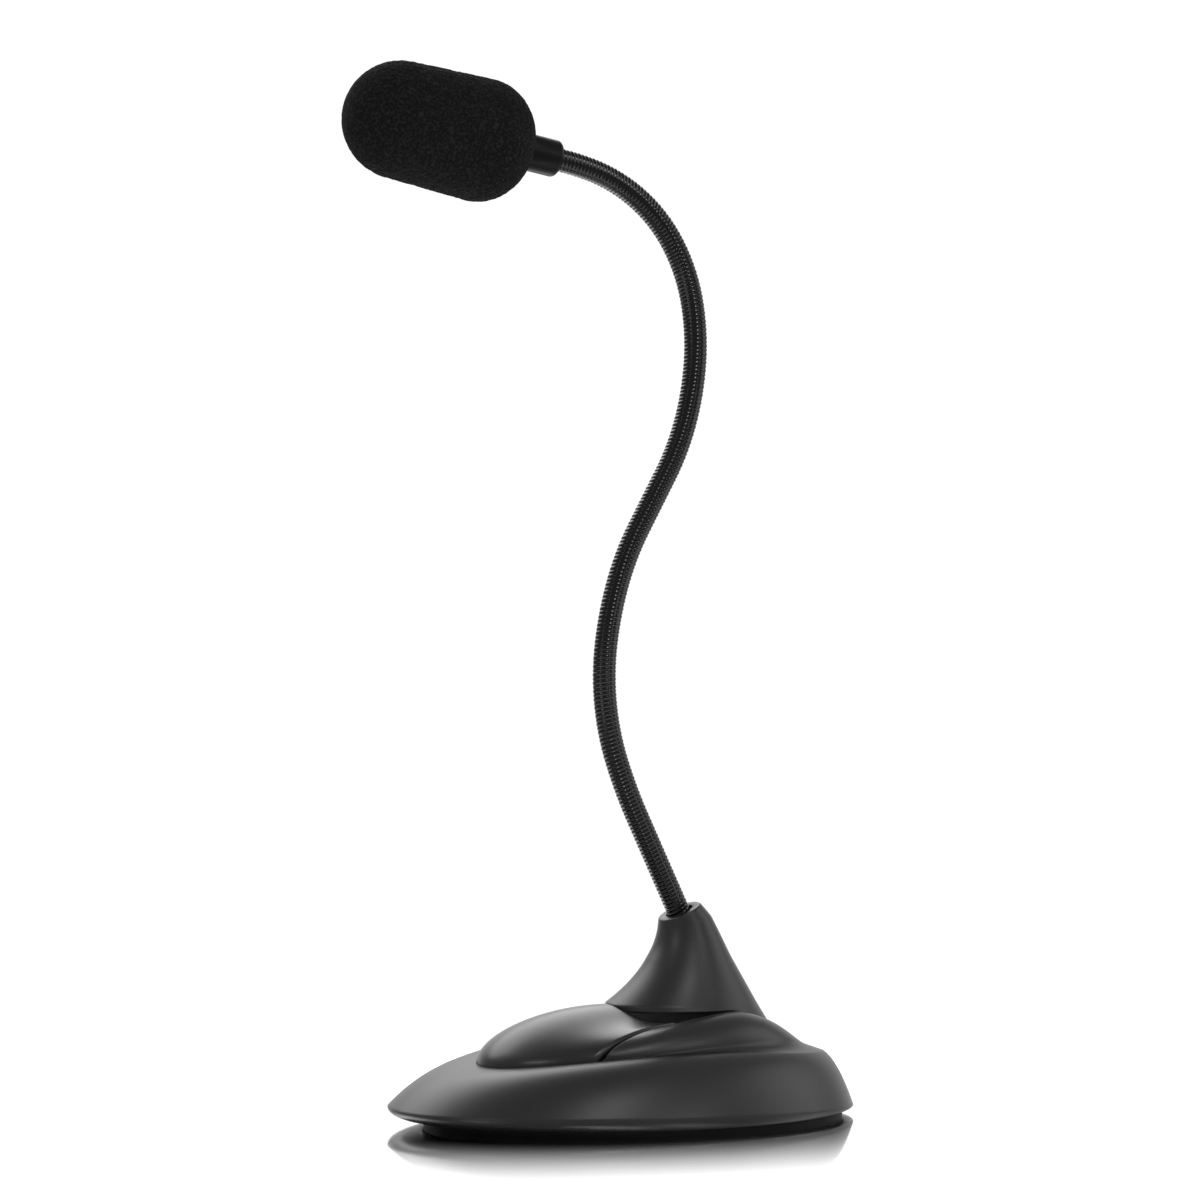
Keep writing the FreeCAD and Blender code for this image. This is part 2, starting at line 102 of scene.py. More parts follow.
def colour(name, description, default):
    return bpy.props.FloatVectorProperty(
        name=name, description=description, default=default, size=3, min=0, max=1, subtype="COLOR")


class MicBaseSizes(bpy.types.PropertyGroup):
    """Lines of the moulded base."""
    girth_half_x: length("Girth half width", "Half of the base's widest outline, across", 0.042)
    girth_half_y: length("Girth half length", "Half of the base's widest outline, front to rear", 0.0607)
    crease_half_x: length("Crease half width", "Half width of the line between skirt and dome", 0.028)
    crease_half_y: length("Crease half length", "Half length of the same line", 0.0442)
    crease_y: length("Crease middle", "How far behind the origin the crease is centred", 0.0061)
    ridge_half_x: length("Ridge half width", "Half width of the top line of dome and lobes", 0.0185)
    ridge_half_y: length("Ridge half length", "Half length of the same line", 0.0225)
    ridge_y: length("Ridge middle", "How far behind the origin the ridge is centred", 0.018)
    wall: length("Wall", "Thickness of the moulding", 0.0022)
    groove: length("Groove", "Width of the gap between dome and lobes", 0.0012)
    groove_depth: length("Groove depth", "Depth of the recess under the dome's edge", 0.0022)


class MicNeckSizes(bpy.types.PropertyGroup):
    """The wound neck, the barrel and the foam."""
    radius: length("Neck radius", "Outside of the round winding", 0.00294)
    pitch: length("Winding pitch", "Advance of the winding in one turn", 0.002)
    valley: length("Winding depth", "Depth of the valleys beside the wide wire", 0.00016)
    barrel_radius: length("Barrel radius", "Outside of the microphone barrel", 0.0046)
    foam_pore: length("Foam pore", "Size of the foam's open cells", 0.00065)


class MicColours(bpy.types.PropertyGroup):
    """Finishes."""
    base: colour("Base plastic", "Colour of the moulded base", (0.0125, 0.0125, 0.013))
    dome: colour("Dome plastic", "Colour of the front dome", (0.014, 0.014, 0.0145))
    wire: colour("Neck wire", "Colour of the lacquered neck wire", (0.002, 0.002, 0.002))
    foam: colour("Foam", "Colour of the windscreen's foam", (0.011, 0.011, 0.011))
    barrel: colour("Barrel", "Colour of the microphone barrel", (0.006, 0.006, 0.006))
    rubber: colour("Rubber", "Colour of pad and grommet", (0.004, 0.004, 0.004))
    floor: colour("Floor", "Colour of the floor", (1.0, 1.0, 1.0))
    base_gloss: factor("Base roughness", "Roughness of the moulded base", 0.38)


def sizes():
    return bpy.context.scene.mic_base, bpy.context.scene.mic_neck, bpy.context.scene.mic_colours


# ---------------------------------------------------------------- mesh helpers
def add_mesh(name, vertices, faces, smooth=True):
    mesh = bpy.data.meshes.new(name)
    mesh.from_pydata(np.asarray(vertices, float).reshape(-1, 3).tolist(), [], [tuple(f) for f in faces])
    mesh.update()
    mesh.polygons.foreach_set("use_smooth", [smooth] * len(mesh.polygons))
    piece = bpy.data.objects.new(name, mesh)
    bpy.context.scene.collection.objects.link(piece)
    return piece


def grid_faces(rows, columns, wrap_rows=False, wrap_columns=True):
    """Quads of a grid of rows x columns vertices, closed round either way where asked."""
    i = np.arange(rows if wrap_rows else rows - 1)[:, None]
    j = np.arange(columns if wrap_columns else columns - 1)[None, :]
    i2, j2 = (i + 1) % rows, (j + 1) % columns
    quads = np.stack([i * columns + j, i * columns + j2, i2 * columns + j2, i2 * columns + j], -1)
    return quads.reshape(-1, 4).tolist()


def tube_mesh(name, grid, caps=True, flip=False):
    """Closed skin over rows of rings; caps fans each end ring to its own middle point."""
    rows, columns = grid.shape[:2]
    faces = grid_faces(rows, columns)
    vertices = grid.reshape(-1, 3)
    if caps:
        middle = np.stack([grid[0].mean(0), grid[-1].mean(0)])
        first, last = rows * columns, rows * columns + 1
        j = np.arange(columns)
        j2 = (j + 1) % columns
        start = np.stack([j2, j, np.full(columns, first)], -1).tolist()
        end = np.stack([j + first - columns, j2 + first - columns, np.full(columns, last)], -1).tolist()
        vertices = np.concatenate([vertices, middle])
        faces = faces + start + end
    if flip:
        faces = [f[::-1] for f in faces]
    return add_mesh(name, vertices, faces)


def ring_mesh(name, grid, flip=False):
    """Skin that closes on itself both round the rings and from the last ring to the first."""
    faces = grid_faces(grid.shape[0], grid.shape[1], wrap_rows=True)
    if flip:
        faces = [f[::-1] for f in faces]
    return add_mesh(name, grid.reshape(-1, 3), faces)


def smooth_step(x, low, high):
    """0 below low, 1 above high and an S-curve between."""
    u = np.clip((x - low) / (high - low), 0, 1)
    return u * u * (3 - 2 * u)


def stack(x, y, z):
    return np.stack(np.broadcast_arrays(x, y, z), -1)


# ---------------------------------------------------------------- neck route
def neck_route():
    """Centre line of the neck as (arc length, y, z, lean) arrays, half a millimetre apart.

    The neck runs straight from the cone for 8 mm; each 15 mm between two joints is an arc that turns
    from the lean at one joint to the lean at the next; the leans are the tilts of the joints' own arcs.
    """
    places = np.array([j["pos_m"][1:] for j in HINGES])
    chords = np.diff(places, axis=0)
    chord_lean = np.arctan2(-chords[:, 0], chords[:, 1])
    lean = [chord_lean[0]]
    for k in range(len(chord_lean)):
        lean.append(2 * chord_lean[k] - lean[-1])
    lean = np.array(lean)
    s, y, z, tilt = [], [], [], []

    def arc(start, begin, turn, span, offset, steps):
        """Points on an arc of the given span whose direction turns from begin by turn."""
        t = np.linspace(0, 1, steps, endpoint=False)
        angle = begin + turn * t
        if abs(turn) < 1e-6:
            dy, dz = -math.sin(begin) * span * t, math.cos(begin) * span * t
        else:
            radius = span / turn
            dy, dz = (np.cos(angle) - math.cos(begin)) * radius, (np.sin(angle) - math.sin(begin)) * radius
        s.append(offset + span * t)
        y.append(start[0] + dy)
        z.append(start[1] + dz)
        tilt.append(angle)

    first = np.array([-math.sin(lean[0]), math.cos(lean[0])])
    below = NECK_STUB + NECK_SUNK
    arc(places[0] - first * below, lean[0], 0.0, below, -NECK_SUNK, 28)
    for k in range(len(chords)):
        arc(places[k], lean[k], lean[k + 1] - lean[k], NECK_STEP, NECK_STUB + NECK_STEP * k, 30)
    pull = next(j["axis"] for j in frame["record"]["behaviour"]["joints"] if j["type"] == "slide")
    head_lean = math.atan2(-pull[1], pull[2])
    end_turn = head_lean - lean[-1]
    arc(places[-1], lean[-1], end_turn, NECK_STUB, NECK_STUB + NECK_STEP * len(chords), 16)
    radius = NECK_STUB / end_turn
    head = places[-1] + radius * np.array([math.cos(head_lean) - math.cos(lean[-1]),
                                           math.sin(head_lean) - math.sin(lean[-1])])
    arc(head, head_lean, 0.0, NECK_TAIL, 2 * NECK_STUB + NECK_STEP * len(chords), 9)
    return tuple(np.concatenate(v) for v in (s, y, z, tilt)) + (head, head_lean)


ROUTE = neck_route()
HEAD_POINT, HEAD_LEAN = np.array([0, *ROUTE[4]]), ROUTE[5]
HEAD_AXIS = np.array([0, -math.sin(HEAD_LEAN), math.cos(HEAD_LEAN)])
HEAD_SIDE = np.array([0, math.cos(HEAD_LEAN), math.sin(HEAD_LEAN)])


def neck_point(s):
    """Centre point and lean at arc length s, read between the route's points."""
    along, y, z, lean = ROUTE[:4]
    return stack(0.0, np.interp(s, along, y), np.interp(s, along, z)), np.interp(s, along, lean)


def winding_height(phase):
    """Height over the valley, 0 to 1: in each turn one wide wire, then a narrower and lower one.

    Each wire's outline is a squared sine across its width, raised to the power 0.8 to fill it out.
    """
    across = np.where(phase < WIDE_SHARE, phase / WIDE_SHARE, (phase - WIDE_SHARE) / (1 - WIDE_SHARE))
    hump = np.sin(math.pi * across) ** 2
    wide = np.where(phase < WIDE_SHARE, hump, 0)
    narrow = np.where(phase < WIDE_SHARE, 0, NARROW_HEIGHT * hump)
    return np.maximum(wide, narrow) ** 0.8


def neck_stretch(name, s0, s1, pitch, radius, valley):
    """Wound tube from arc length s0 to s1: radius = outside - depth (1 - height of the winding),
    where the winding's phase is arc length / pitch less the angle round the tube / 360 degrees."""
    columns = 48
    rows = max(int(round((s1 - s0) / 0.0001)), 8) + 1
    s = np.linspace(s0, s1, rows)[:, None]
    a = TURN * np.arange(columns)[None, :] / columns
    r = radius - valley * (1 - winding_height(np.mod(s / pitch - a / TURN, 1.0)))
    centre, lean = neck_point(s)
    lean = lean[..., None]
    across = np.concatenate([np.ones_like(lean), np.zeros_like(lean), np.zeros_like(lean)], -1)
    forward = np.concatenate([np.zeros_like(lean), np.cos(lean), np.sin(lean)], -1)
    grid = centre + r[..., None] * (np.cos(a)[..., None] * across + np.sin(a)[..., None] * forward)
    return tube_mesh(name, grid)


# ---------------------------------------------------------------- base surfaces
def girth(a, b, inset=0.0):
    z = (3.9 + 1.4 * np.cos(a) - 0.6 * np.cos(2 * a)) * MM + (0.8 - 0.2 * np.cos(a)) * inset
    return stack((b.girth_half_x - inset) * np.sin(a), -(b.girth_half_y - inset) * np.cos(a), z)


def crease(a, b, inset=0.0):
    z = (17.0 - 0.9 * np.cos(a) - 1.6 * np.cos(2 * a)) * MM - inset
    return stack((b.crease_half_x - inset) * np.sin(a), b.crease_y - (b.crease_half_y - inset) * np.cos(a), z)


def ridge(a, b, inset=0.0):
    z = 25.2 + 2.1 * np.cos(a) - 0.95 * np.cos(2 * a) + 1.4 * np.cos(3 * a) + 0.75 * np.cos(4 * a)
    return stack(b.ridge_half_x * np.sin(a), b.ridge_y - b.ridge_half_y * np.cos(a), z * MM - inset)


def between(low, high, along, rise):
    """Point between two lines, with its own share of the way in plan and in height."""
    p = low + (high - low) * np.asarray(along)[..., None]
    p[..., 2] = low[..., 2] + (high[..., 2] - low[..., 2]) * rise
    return p


def off_front(a):
    """Degrees away from the front, the same on both sides."""
    return np.degrees(np.abs(np.arctan2(np.sin(a), np.cos(a))))


def rim_band(a, u, b, inset=0.0):
    """Undercut band: a quarter ellipse from the bottom edge (u 0) out to the girth (u 1)."""
    low = stack((BOTTOM_HALF_X - inset) * np.sin(a), BOTTOM_Y - (BOTTOM_HALF_Y - inset) * np.cos(a),
                BOTTOM_Z + inset)
    return between(low, girth(a, b, inset), np.sin(u * math.pi / 2), 1 - np.cos(u * math.pi / 2))


def skirt(a, u, b, inset=0.0):
    """From the girth (u 0) to the crease (u 1); height rises as 1 - (1 - u) to the power 2.2."""
    return between(girth(a, b, inset), crease(a, b, inset), u, 1 - (1 - u) ** 2.2)


def dome(a, u, b, inset=0.0):
    """From the crease (u 0) to the ridge (u 1): a quarter ellipse, which turns hollow at the rear."""
    rear = smooth_step(off_front(a), HOLLOW_START, HOLLOW_END)
    along = (1 - rear) * (1 - np.cos(u * math.pi / 2)) + rear * u
    rise = (1 - rear) * np.sin(u * math.pi / 2) ** 1.12 + rear * u ** 1.4
    return between(crease(a, b, inset), ridge(a, b, inset), along, rise)


def inner_slope(a, u, b, inset=0.0):
    """From the ridge (u 0) down to the land that the cone stands on (u 1)."""
    low = stack((LAND_HALF_X + inset) * np.sin(a), LAND_Y - (LAND_HALF_Y + inset) * np.cos(a), LAND_Z - inset)
    return between(ridge(a, b, inset), low, u, 1 - (1 + np.cos(u * math.pi)) / 2)


def crease_reach(a):
    """Share of skirt and dome over which their meeting is rounded: almost none in front, wide at the rear."""
    return 0.004 + 0.30 * smooth_step(off_front(a), 62, 140)


def rounded_crease(a, t, b, inset=0.0):
    """Round over the crease: a parabola (t 0 to 1) from skirt to dome, tangent to both."""
    reach = crease_reach(a)
    t = np.asarray(t)[..., None] if np.ndim(t) else t
    return ((1 - t) ** 2 * skirt(a, 1 - reach, b, inset) + 2 * t * (1 - t) * crease(a, b, inset)
            + t ** 2 * dome(a, reach, b, inset))


def groove_angle(u):
    """Angle from the front at which the groove crosses the dome, for u from crease to ridge."""
    return np.radians(57.0 + 4.0 * np.sin(np.clip(u, 0, 1) * math.pi / 2))


def lobe_angle(u):
    """Angle at which the lobe's edge stands: past the groove, and rounded off just above the crease."""
    low = np.clip(1 - np.clip(u, 0, 1) / 0.13, 0, 1)
    return groove_angle(u) + 0.022 + math.radians(17.0) * low ** 1.7


def split_angles(u, front=64, wall=54, rest=76):
    """Angles of one ring, both sides: even up to the groove, close over the lobe's edge, even behind."""
    near, far = groove_angle(u) - 0.03, groove_angle(u) + 0.34
    dense = near + (far - near) * np.linspace(0, 1, wall, endpoint=False) ** 1.6
    even = np.linspace(0, near, front, endpoint=False)
    half = np.concatenate([even, dense, np.linspace(far, math.pi, rest)])
    return np.concatenate([half, TURN - half[-2:0:-1]])


def sunk(p, a, u, depth):
    """Lower the points of a ring in front of the lobe's edge by depth, with a steep rounded wall."""
    edge = lobe_angle(u)
    ahead = 1 - smooth_step(np.radians(off_front(a)), edge - 0.016, edge + 0.014)
    p[..., 2] -= depth * ahead
    return p


def base_rows(b, inset, depth):
    """Rings of the base from its bottom edge to the land, with the dome's seat sunk by depth.

    In front of the groove the rings are also lower by up to 0.7 mm at the ridge.
    """
    extra = 0.0007
    low = split_angles(0.0)
    rows = [rim_band(low, u, b, inset) for u in np.sin(np.linspace(0, math.pi / 2, 12))]
    rows += [skirt(low, u * (1 - crease_reach(low)), b, inset) for u in np.linspace(0, 1, 46)[1:]]
    rows += [sunk(rounded_crease(low, t, b, inset), low, 0.0, 0.15 * depth * smooth_step(t, 0.3, 0.6))
             for t in np.linspace(0, 1, 12)[1:]]
    for u in np.linspace(0, 1, 70)[1:] ** 1.15:
        a = split_angles(u)
        reach = crease_reach(a)
        p = dome(a, reach + (1 - reach) * u, b, inset)
        p[..., 2] -= extra * u ** 2 * (1 - smooth_step(off_front(a), FRONT_START, FRONT_END))
        rows.append(sunk(p, a, u, depth * (0.15 + 0.85 * smooth_step(u, 0, 0.06))))
    top = split_angles(1.0)
    for u in np.linspace(0, 1, 16)[1:]:
        p = inner_slope(top, u, b, inset)
        p[..., 2] -= extra * (1 - u) * (1 - smooth_step(off_front(top), FRONT_START, FRONT_END))
        rows.append(sunk(p, top, 1.0, depth * (1 - u)))
    return rows


def build_base(b):
    """Hollow base: outer rings from the bottom opening to the hole in the land, then the inner ones back."""
    ledge, hole_radius, hole_y = 0.0021, 0.0042, 0.0301
    outer = base_rows(b, 0.0, b.groove_depth)
    inner = base_rows(b, b.wall, b.groove_depth)
    around = split_angles(0.0)
    opening = [stack((BOTTOM_HALF_X - ledge) * np.sin(around),
                     BOTTOM_Y - (BOTTOM_HALF_Y - ledge) * np.cos(around), z) for z in (0.0050, BOTTOM_Z)]
    hole = [stack(hole_radius * np.sin(around), hole_y - hole_radius * np.cos(around), z)
            for z in (LAND_Z, 0.0188)]
    return ring_mesh("moulded_base", np.stack(opening + outer + hole + inner[::-1]))


def build_dome(b):
    """Front dome: the dome surface between the grooves, its edges rounded, and a closed underside.

    Over the last 0.8 mm before each groove the top falls away by as much, as a quarter circle, and over
    the last 0.4 mm above the crease by 0.3 mm. The underside lies 1.6 mm below the top, and 0.2 mm at the
    crease.
    """
    columns, edge_round, foot_round, foot_drop = 170, 0.0008, 0.0004, 0.0003
    groove_out, edge_out, profile = 0.030, 0.028, 0.018   # metres to the groove, to the edge, up the dome
    u = (np.linspace(0, 1, 84) ** 1.3)[:, None]
    side = np.sin(np.linspace(-1, 1, columns) * math.pi / 2)[None, :]
    side = 0.5 * side + 0.5 * np.linspace(-1, 1, columns)[None, :]
    reach = groove_angle(u) - b.groove / 2 / groove_out
    top = dome(side * reach, u, b)
    edge = np.clip((1 - np.abs(side)) * reach * edge_out / edge_round, 0, 1)
    foot = np.clip(u * profile / foot_round, 0, 1)
    fall = 1 - np.sqrt(1 - (1 - edge) ** 2)
    top[..., 2] -= edge_round * fall + foot_drop * (1 - np.sqrt(1 - (1 - foot) ** 2))
    last = inner_slope((side * reach[-1])[0][None, :], np.linspace(0, 1, 10)[1:, None], b)
    last[..., 2] -= edge_round * fall[-1]
    top = np.concatenate([top, last])
    under = top.copy()
    thick = np.concatenate([0.0002 + 0.0014 * smooth_step(u, 0, 0.07), np.full((9, 1), 0.0016)])
    under[..., 2] -= thick
    n, m = top.shape[:2]
    faces = grid_faces(n, m, wrap_columns=False)
    low = [[v + n * m for v in f[::-1]] for f in faces]
    border = ([i * m for i in range(n)] + [(n - 1) * m + j for j in range(1, m)]
              + [i * m + m - 1 for i in range(n - 2, -1, -1)] + list(range(m - 2, 0, -1)))
    walls = [[p, p + n * m, q + n * m, q] for p, q in zip(border, border[1:] + border[:1])]
    return add_mesh("front_dome_cover", np.concatenate([top.reshape(-1, 3), under.reshape(-1, 3)]),
                    faces + low + [w[::-1] for w in walls])


def cone_ring(drop, inset, a):
    """Ring of the cone, drop below its rim: an oval between the front and the rear edge, tilted near the top.

    The front edge sweeps forward with the power 2.5 of the drop; the rear edge is nearly straight.
    """
    lean = math.radians(23.0) * max(0.0, 1 - drop / 12.0) ** 1.5
    front = 10.0 - 13.7 * (min(drop, 22.6) / 22.6) ** 2.5 + inset
    rear = 21.0 + 0.59 * drop + 1.1 * min(drop, 3.0) / 3.0 - inset
    half_x = 5.8 + 0.30 * drop + 0.0045 * drop ** 2 - inset
    middle, half_y = (front + rear) / 2, (rear - front) / 2
    out = -half_y * np.cos(a)
    height = CONE_TOP - drop + out * math.sin(lean)
    return stack(half_x * np.sin(a), middle + out * math.cos(lean), height) * MM


def cone_foot(drop, a):
    """Ring below the cone's foot edge: at the sides the wall steps in by up to 1.6 mm and drops straight."""
    step = (smooth_step(off_front(a), 22, 50) * (1 - smooth_step(off_front(a), 92, 118)))[..., None]
    straight = cone_ring(CONE_DROP, 1.6, a) + stack(0, 0, (CONE_DROP - drop) * MM)
    return (1 - step) * cone_ring(drop, 0.0, a) + step * straight


def build_cone():
    """Leaning cone: flat rim, bore around the neck, hollow inside, foot edge with a recess under it."""
    a = TURN * np.arange(180) / 180
    fillet = 0.35
    lip = [cone_ring(d, i, a) for d, i in ((9, 2.6), (6, 2.5), (3, 2.3), (0.4, 2.2), (0.1, 2.1), (0, 1.95))]
    turns = np.linspace(0, math.pi / 2, 6)
    rim = [cone_ring(fillet * (1 - math.cos(t)), fillet * (1 - math.sin(t)), a) for t in turns]
    outer = [cone_ring(d, 0.0, a) for d in np.linspace(fillet, 24.0, 84)[1:]]
    foot = [cone_foot(d, a) for d in (CONE_DROP, 24.3, 25, 26, 27, 28, 29, 30.5)]
    inner = [cone_ring(d, 2.8 + 0.5 * (d > 20), a) for d in np.linspace(30.5, 10, 16)]
    return ring_mesh("neck_cone_cover", np.stack(lip + rim + outer + foot + inner))


# ---------------------------------------------------------------- head surfaces
def turned(s, r, columns):
    """Points of a body of revolution about the head's axis: distances s along it, and radii r."""
    a = TURN * np.arange(columns)[None, :] / columns
    out = np.cos(a)[..., None] * np.array([1.0, 0, 0]) + np.sin(a)[..., None] * HEAD_SIDE
    return HEAD_POINT + s[:, None, None] * HEAD_AXIS + r.reshape(len(s), -1)[..., None] * out


def turned_grid(profile, columns):
    """The same from (distance, radius) pairs in metres."""
    return turned(*np.array(profile).T, columns)


def foam_outline(s):
    """Foam radius at distance s from its neck end: elliptical ends and a slight taper."""
    near = np.minimum(np.minimum(s, FOAM_SPAN - s), FOAM_CAP)
    return (FOAM_RADIUS - FOAM_TAPER * s / FOAM_SPAN) * np.sqrt(np.clip(1 - (1 - near / FOAM_CAP) ** 2, 0, 1))


def build_foam():
    """Windscreen: the outline turned about the head's axis, its skin broken up by small random lumps."""
    rows, columns = 250, 330
    t = np.linspace(0, math.pi, rows + 2)[1:-1]
    s = FOAM_SPAN * (1 - np.cos(t)) / 2
    s = 0.55 * s + 0.45 * FOAM_SPAN * t / math.pi
    r = foam_outline(s)
    keep = (s > FOAM_SPAN / 2) | (r > FOAM_BORE)
    s, r = s[keep], r[keep]
    s, r = s[::-1], r[::-1]
    rng = np.random.default_rng(7)
    rough = rng.random((len(s), columns))
    for _ in range(2):
        rough = (rough + np.roll(rough, 1, 1) + np.roll(rough, -1, 1)) / 3
        rough = (rough + np.roll(rough, 1, 0) + np.roll(rough, -1, 0)) / 3
    rough = (rough - rough.mean()) / rough.std()
    fade = np.clip(r / 0.004, 0, 1)[:, None]
    lumps = 0.00007 * fade * np.clip(rough, -2, 1.4)
    outer = turned(FOAM_START + s, r[:, None] + lumps, columns)
    mouth = FOAM_START + s[-1] + 0.0004
    bore = turned_grid([(mouth, FOAM_BORE), (FOAM_BORE_END, FOAM_BORE), (FOAM_BORE_END, 0.001)], columns)
    grid = np.concatenate([outer, bore])
    return tube_mesh("foam_windscreen_skin", grid, flip=True)


# ---------------------------------------------------------------- materials
def material(name):
    m = bpy.data.materials.get(name)
    if m:
        return m, None, None
    m = bpy.data.materials.new(name)
    m.use_nodes = True
    nodes = m.node_tree.nodes
    return m, m.node_tree, nodes["Principled BSDF"]


def grain_group():
    """Fine moulding grain: puts out a roughness and a bump height from object coordinates."""
    tree = bpy.data.node_groups.get("Moulding Grain")
    if tree:
        return tree
    tree = bpy.data.node_groups.new("Moulding Grain", "ShaderNodeTree")
    for name, value in (("Scale", 900.0), ("Roughness", 0.35), ("Variation", 0.06)):
        socket = tree.interface.new_socket(name=name, in_out="INPUT", socket_type="NodeSocketFloat")
        socket.default_value = value
    tree.interface.new_socket(name="Roughness", in_out="OUTPUT", socket_type="NodeSocketFloat")
    tree.interface.new_socket(name="Height", in_out="OUTPUT", socket_type="NodeSocketFloat")
    nodes, links = tree.nodes, tree.links
    inlet, outlet = nodes.new("NodeGroupInput"), nodes.new("NodeGroupOutput")
    where = nodes.new("ShaderNodeTexCoord")
    fine = nodes.new("ShaderNodeTexNoise")
    fine.inputs["Detail"].default_value = 3
    links.new(where.outputs["Object"], fine.inputs["Vector"])
    links.new(inlet.outputs["Scale"], fine.inputs["Scale"])
    wide = nodes.new("ShaderNodeTexNoise")
    wide.inputs["Scale"].default_value = 60
    links.new(where.outputs["Object"], wide.inputs["Vector"])
    centred = nodes.new("ShaderNodeMath")
    centred.operation = "SUBTRACT"
    centred.inputs[1].default_value = 0.5
    links.new(wide.outputs["Fac"], centred.inputs[0])
    spread = nodes.new("ShaderNodeMath")
    spread.operation = "MULTIPLY_ADD"
    links.new(centred.outputs[0], spread.inputs[0])
    links.new(inlet.outputs["Variation"], spread.inputs[1])
    links.new(inlet.outputs["Roughness"], spread.inputs[2])
    links.new(spread.outputs[0], outlet.inputs["Roughness"])
    links.new(fine.outputs["Fac"], outlet.inputs["Height"])
    return tree


def grained(name, base_color, roughness, scale, strength, variation=0.06, **constants):
    """Material with the moulding grain in its roughness and its bump."""
    m, tree, shader = material(name)
    if tree is None:
        return m
    shader.inputs["Base Color"].default_value = (*base_color, 1)
    for socket, value in constants.items():
        shader.inputs[socket.replace("_", " ")].default_value = value
    grain = tree.nodes.new("ShaderNodeGroup")
    grain.node_tree = grain_group()
    grain.inputs["Scale"].default_value = scale
    grain.inputs["Roughness"].default_value = roughness
    grain.inputs["Variation"].default_value = variation
    bump = tree.nodes.new("ShaderNodeBump")
    bump.inputs["Strength"].default_value = strength
    bump.inputs["Distance"].default_value = 0.0001
    tree.links.new(grain.outputs["Roughness"], shader.inputs["Roughness"])
    tree.links.new(grain.outputs["Height"], bump.inputs["Height"])
    tree.links.new(bump.outputs["Normal"], shader.inputs["Normal"])
    return m


def foam_material(c, pore):
    """Open-cell foam from a cell pattern in object coordinates: darker cells and slightly lighter struts,
    where the cells' darkness is painted shade in the pores; the same pattern sinks the cells in the bump.
    """
    m, tree, shader = material("Open Cell Foam")
    if tree is None:
        return m
    nodes, links = tree.nodes, tree.links
    where = nodes.new("ShaderNodeTexCoord")
    cells = nodes.new("ShaderNodeTexVoronoi")
    cells.inputs["Scale"].default_value = 1 / pore
    links.new(where.outputs["Object"], cells.inputs["Vector"])
    ramp = nodes.new("ShaderNodeValToRGB")
    # painted shade: each cell is coloured darker towards its middle, standing in for the shade inside the
    # pore
    pore_shade, light = [v * 0.7 for v in c.foam], [min(v * 2.2, 1) for v in c.foam]
    ramp.color_ramp.elements[0].position, ramp.color_ramp.elements[0].color = 0.4, (*pore_shade, 1)
    ramp.color_ramp.elements[1].position, ramp.color_ramp.elements[1].color = 0.95, (*light, 1)
    links.new(cells.outputs["Distance"], ramp.inputs["Fac"])
    links.new(ramp.outputs["Color"], shader.inputs["Base Color"])
    bump = nodes.new("ShaderNodeBump")
    bump.inputs["Strength"].default_value = 0.8
    bump.inputs["Distance"].default_value = 0.0003
    links.new(cells.outputs["Distance"], bump.inputs["Height"])
    links.new(bump.outputs["Normal"], shader.inputs["Normal"])
    shader.inputs["Roughness"].default_value = 1.0
    shader.inputs["Specular IOR Level"].default_value = 0.12
    return m


def plain(name, base_color, roughness, metallic=0.0, specular=0.5):
    m, tree, shader = material(name)
    if tree is not None:
        shader.inputs["Specular IOR Level"].default_value = specular
        shader.inputs["Base Color"].default_value = (*base_color, 1)
        shader.inputs["Roughness"].default_value = roughness
        shader.inputs["Metallic"].default_value = metallic
    return m


def floor_material(c):
    """Floor that mirrors what stands on it, with a ring of plain white around the base.

    In sizes of the base's outline, the white comes in from 1.05 to 3.25 and goes out from 3.4 to
    3.9, both in an S-curve.
    """
    m, tree, shader = material("Pale Floor")
    nodes, links = tree.nodes, tree.links
    where = nodes.new("ShaderNodeTexCoord")
    scaled = nodes.new("ShaderNodeVectorMath")
    scaled.operation = "MULTIPLY"
    scaled.inputs[1].default_value = (1 / 0.042, 1 / 0.0607, 0)
    links.new(where.outputs["Object"], scaled.inputs[0])
    size = nodes.new("ShaderNodeVectorMath")
    size.operation = "LENGTH"
    links.new(scaled.outputs[0], size.inputs[0])
    white = nodes.new("ShaderNodeMath")
    white.operation = "MULTIPLY"
    for slot, (low, high, start) in enumerate(((1.05, 3.25, 0.0), (3.4, 3.9, 1.0))):
        fade = nodes.new("ShaderNodeMapRange")
        fade.interpolation_type = "SMOOTHSTEP"
        fade.inputs["From Min"].default_value = low
        fade.inputs["From Max"].default_value = high
        fade.inputs["To Min"].default_value = start
        fade.inputs["To Max"].default_value = 1 - start
        links.new(size.outputs["Value"], fade.inputs["Value"])
        links.new(fade.outputs["Result"], white.inputs[slot])
    mirror = nodes.new("ShaderNodeMath")
    mirror.operation = "SUBTRACT"
    mirror.inputs[0].default_value = 1.0
    links.new(white.outputs[0], mirror.inputs[1])
    links.new(mirror.outputs[0], shader.inputs["Metallic"])
    links.new(white.outputs[0], shader.inputs["Emission Strength"])
    shader.inputs["Emission Color"].default_value = (1, 1, 1, 1)
    shader.inputs["Base Color"].default_value = (*c.floor, 1)
    shader.inputs["Roughness"].default_value = 0.06
    return m


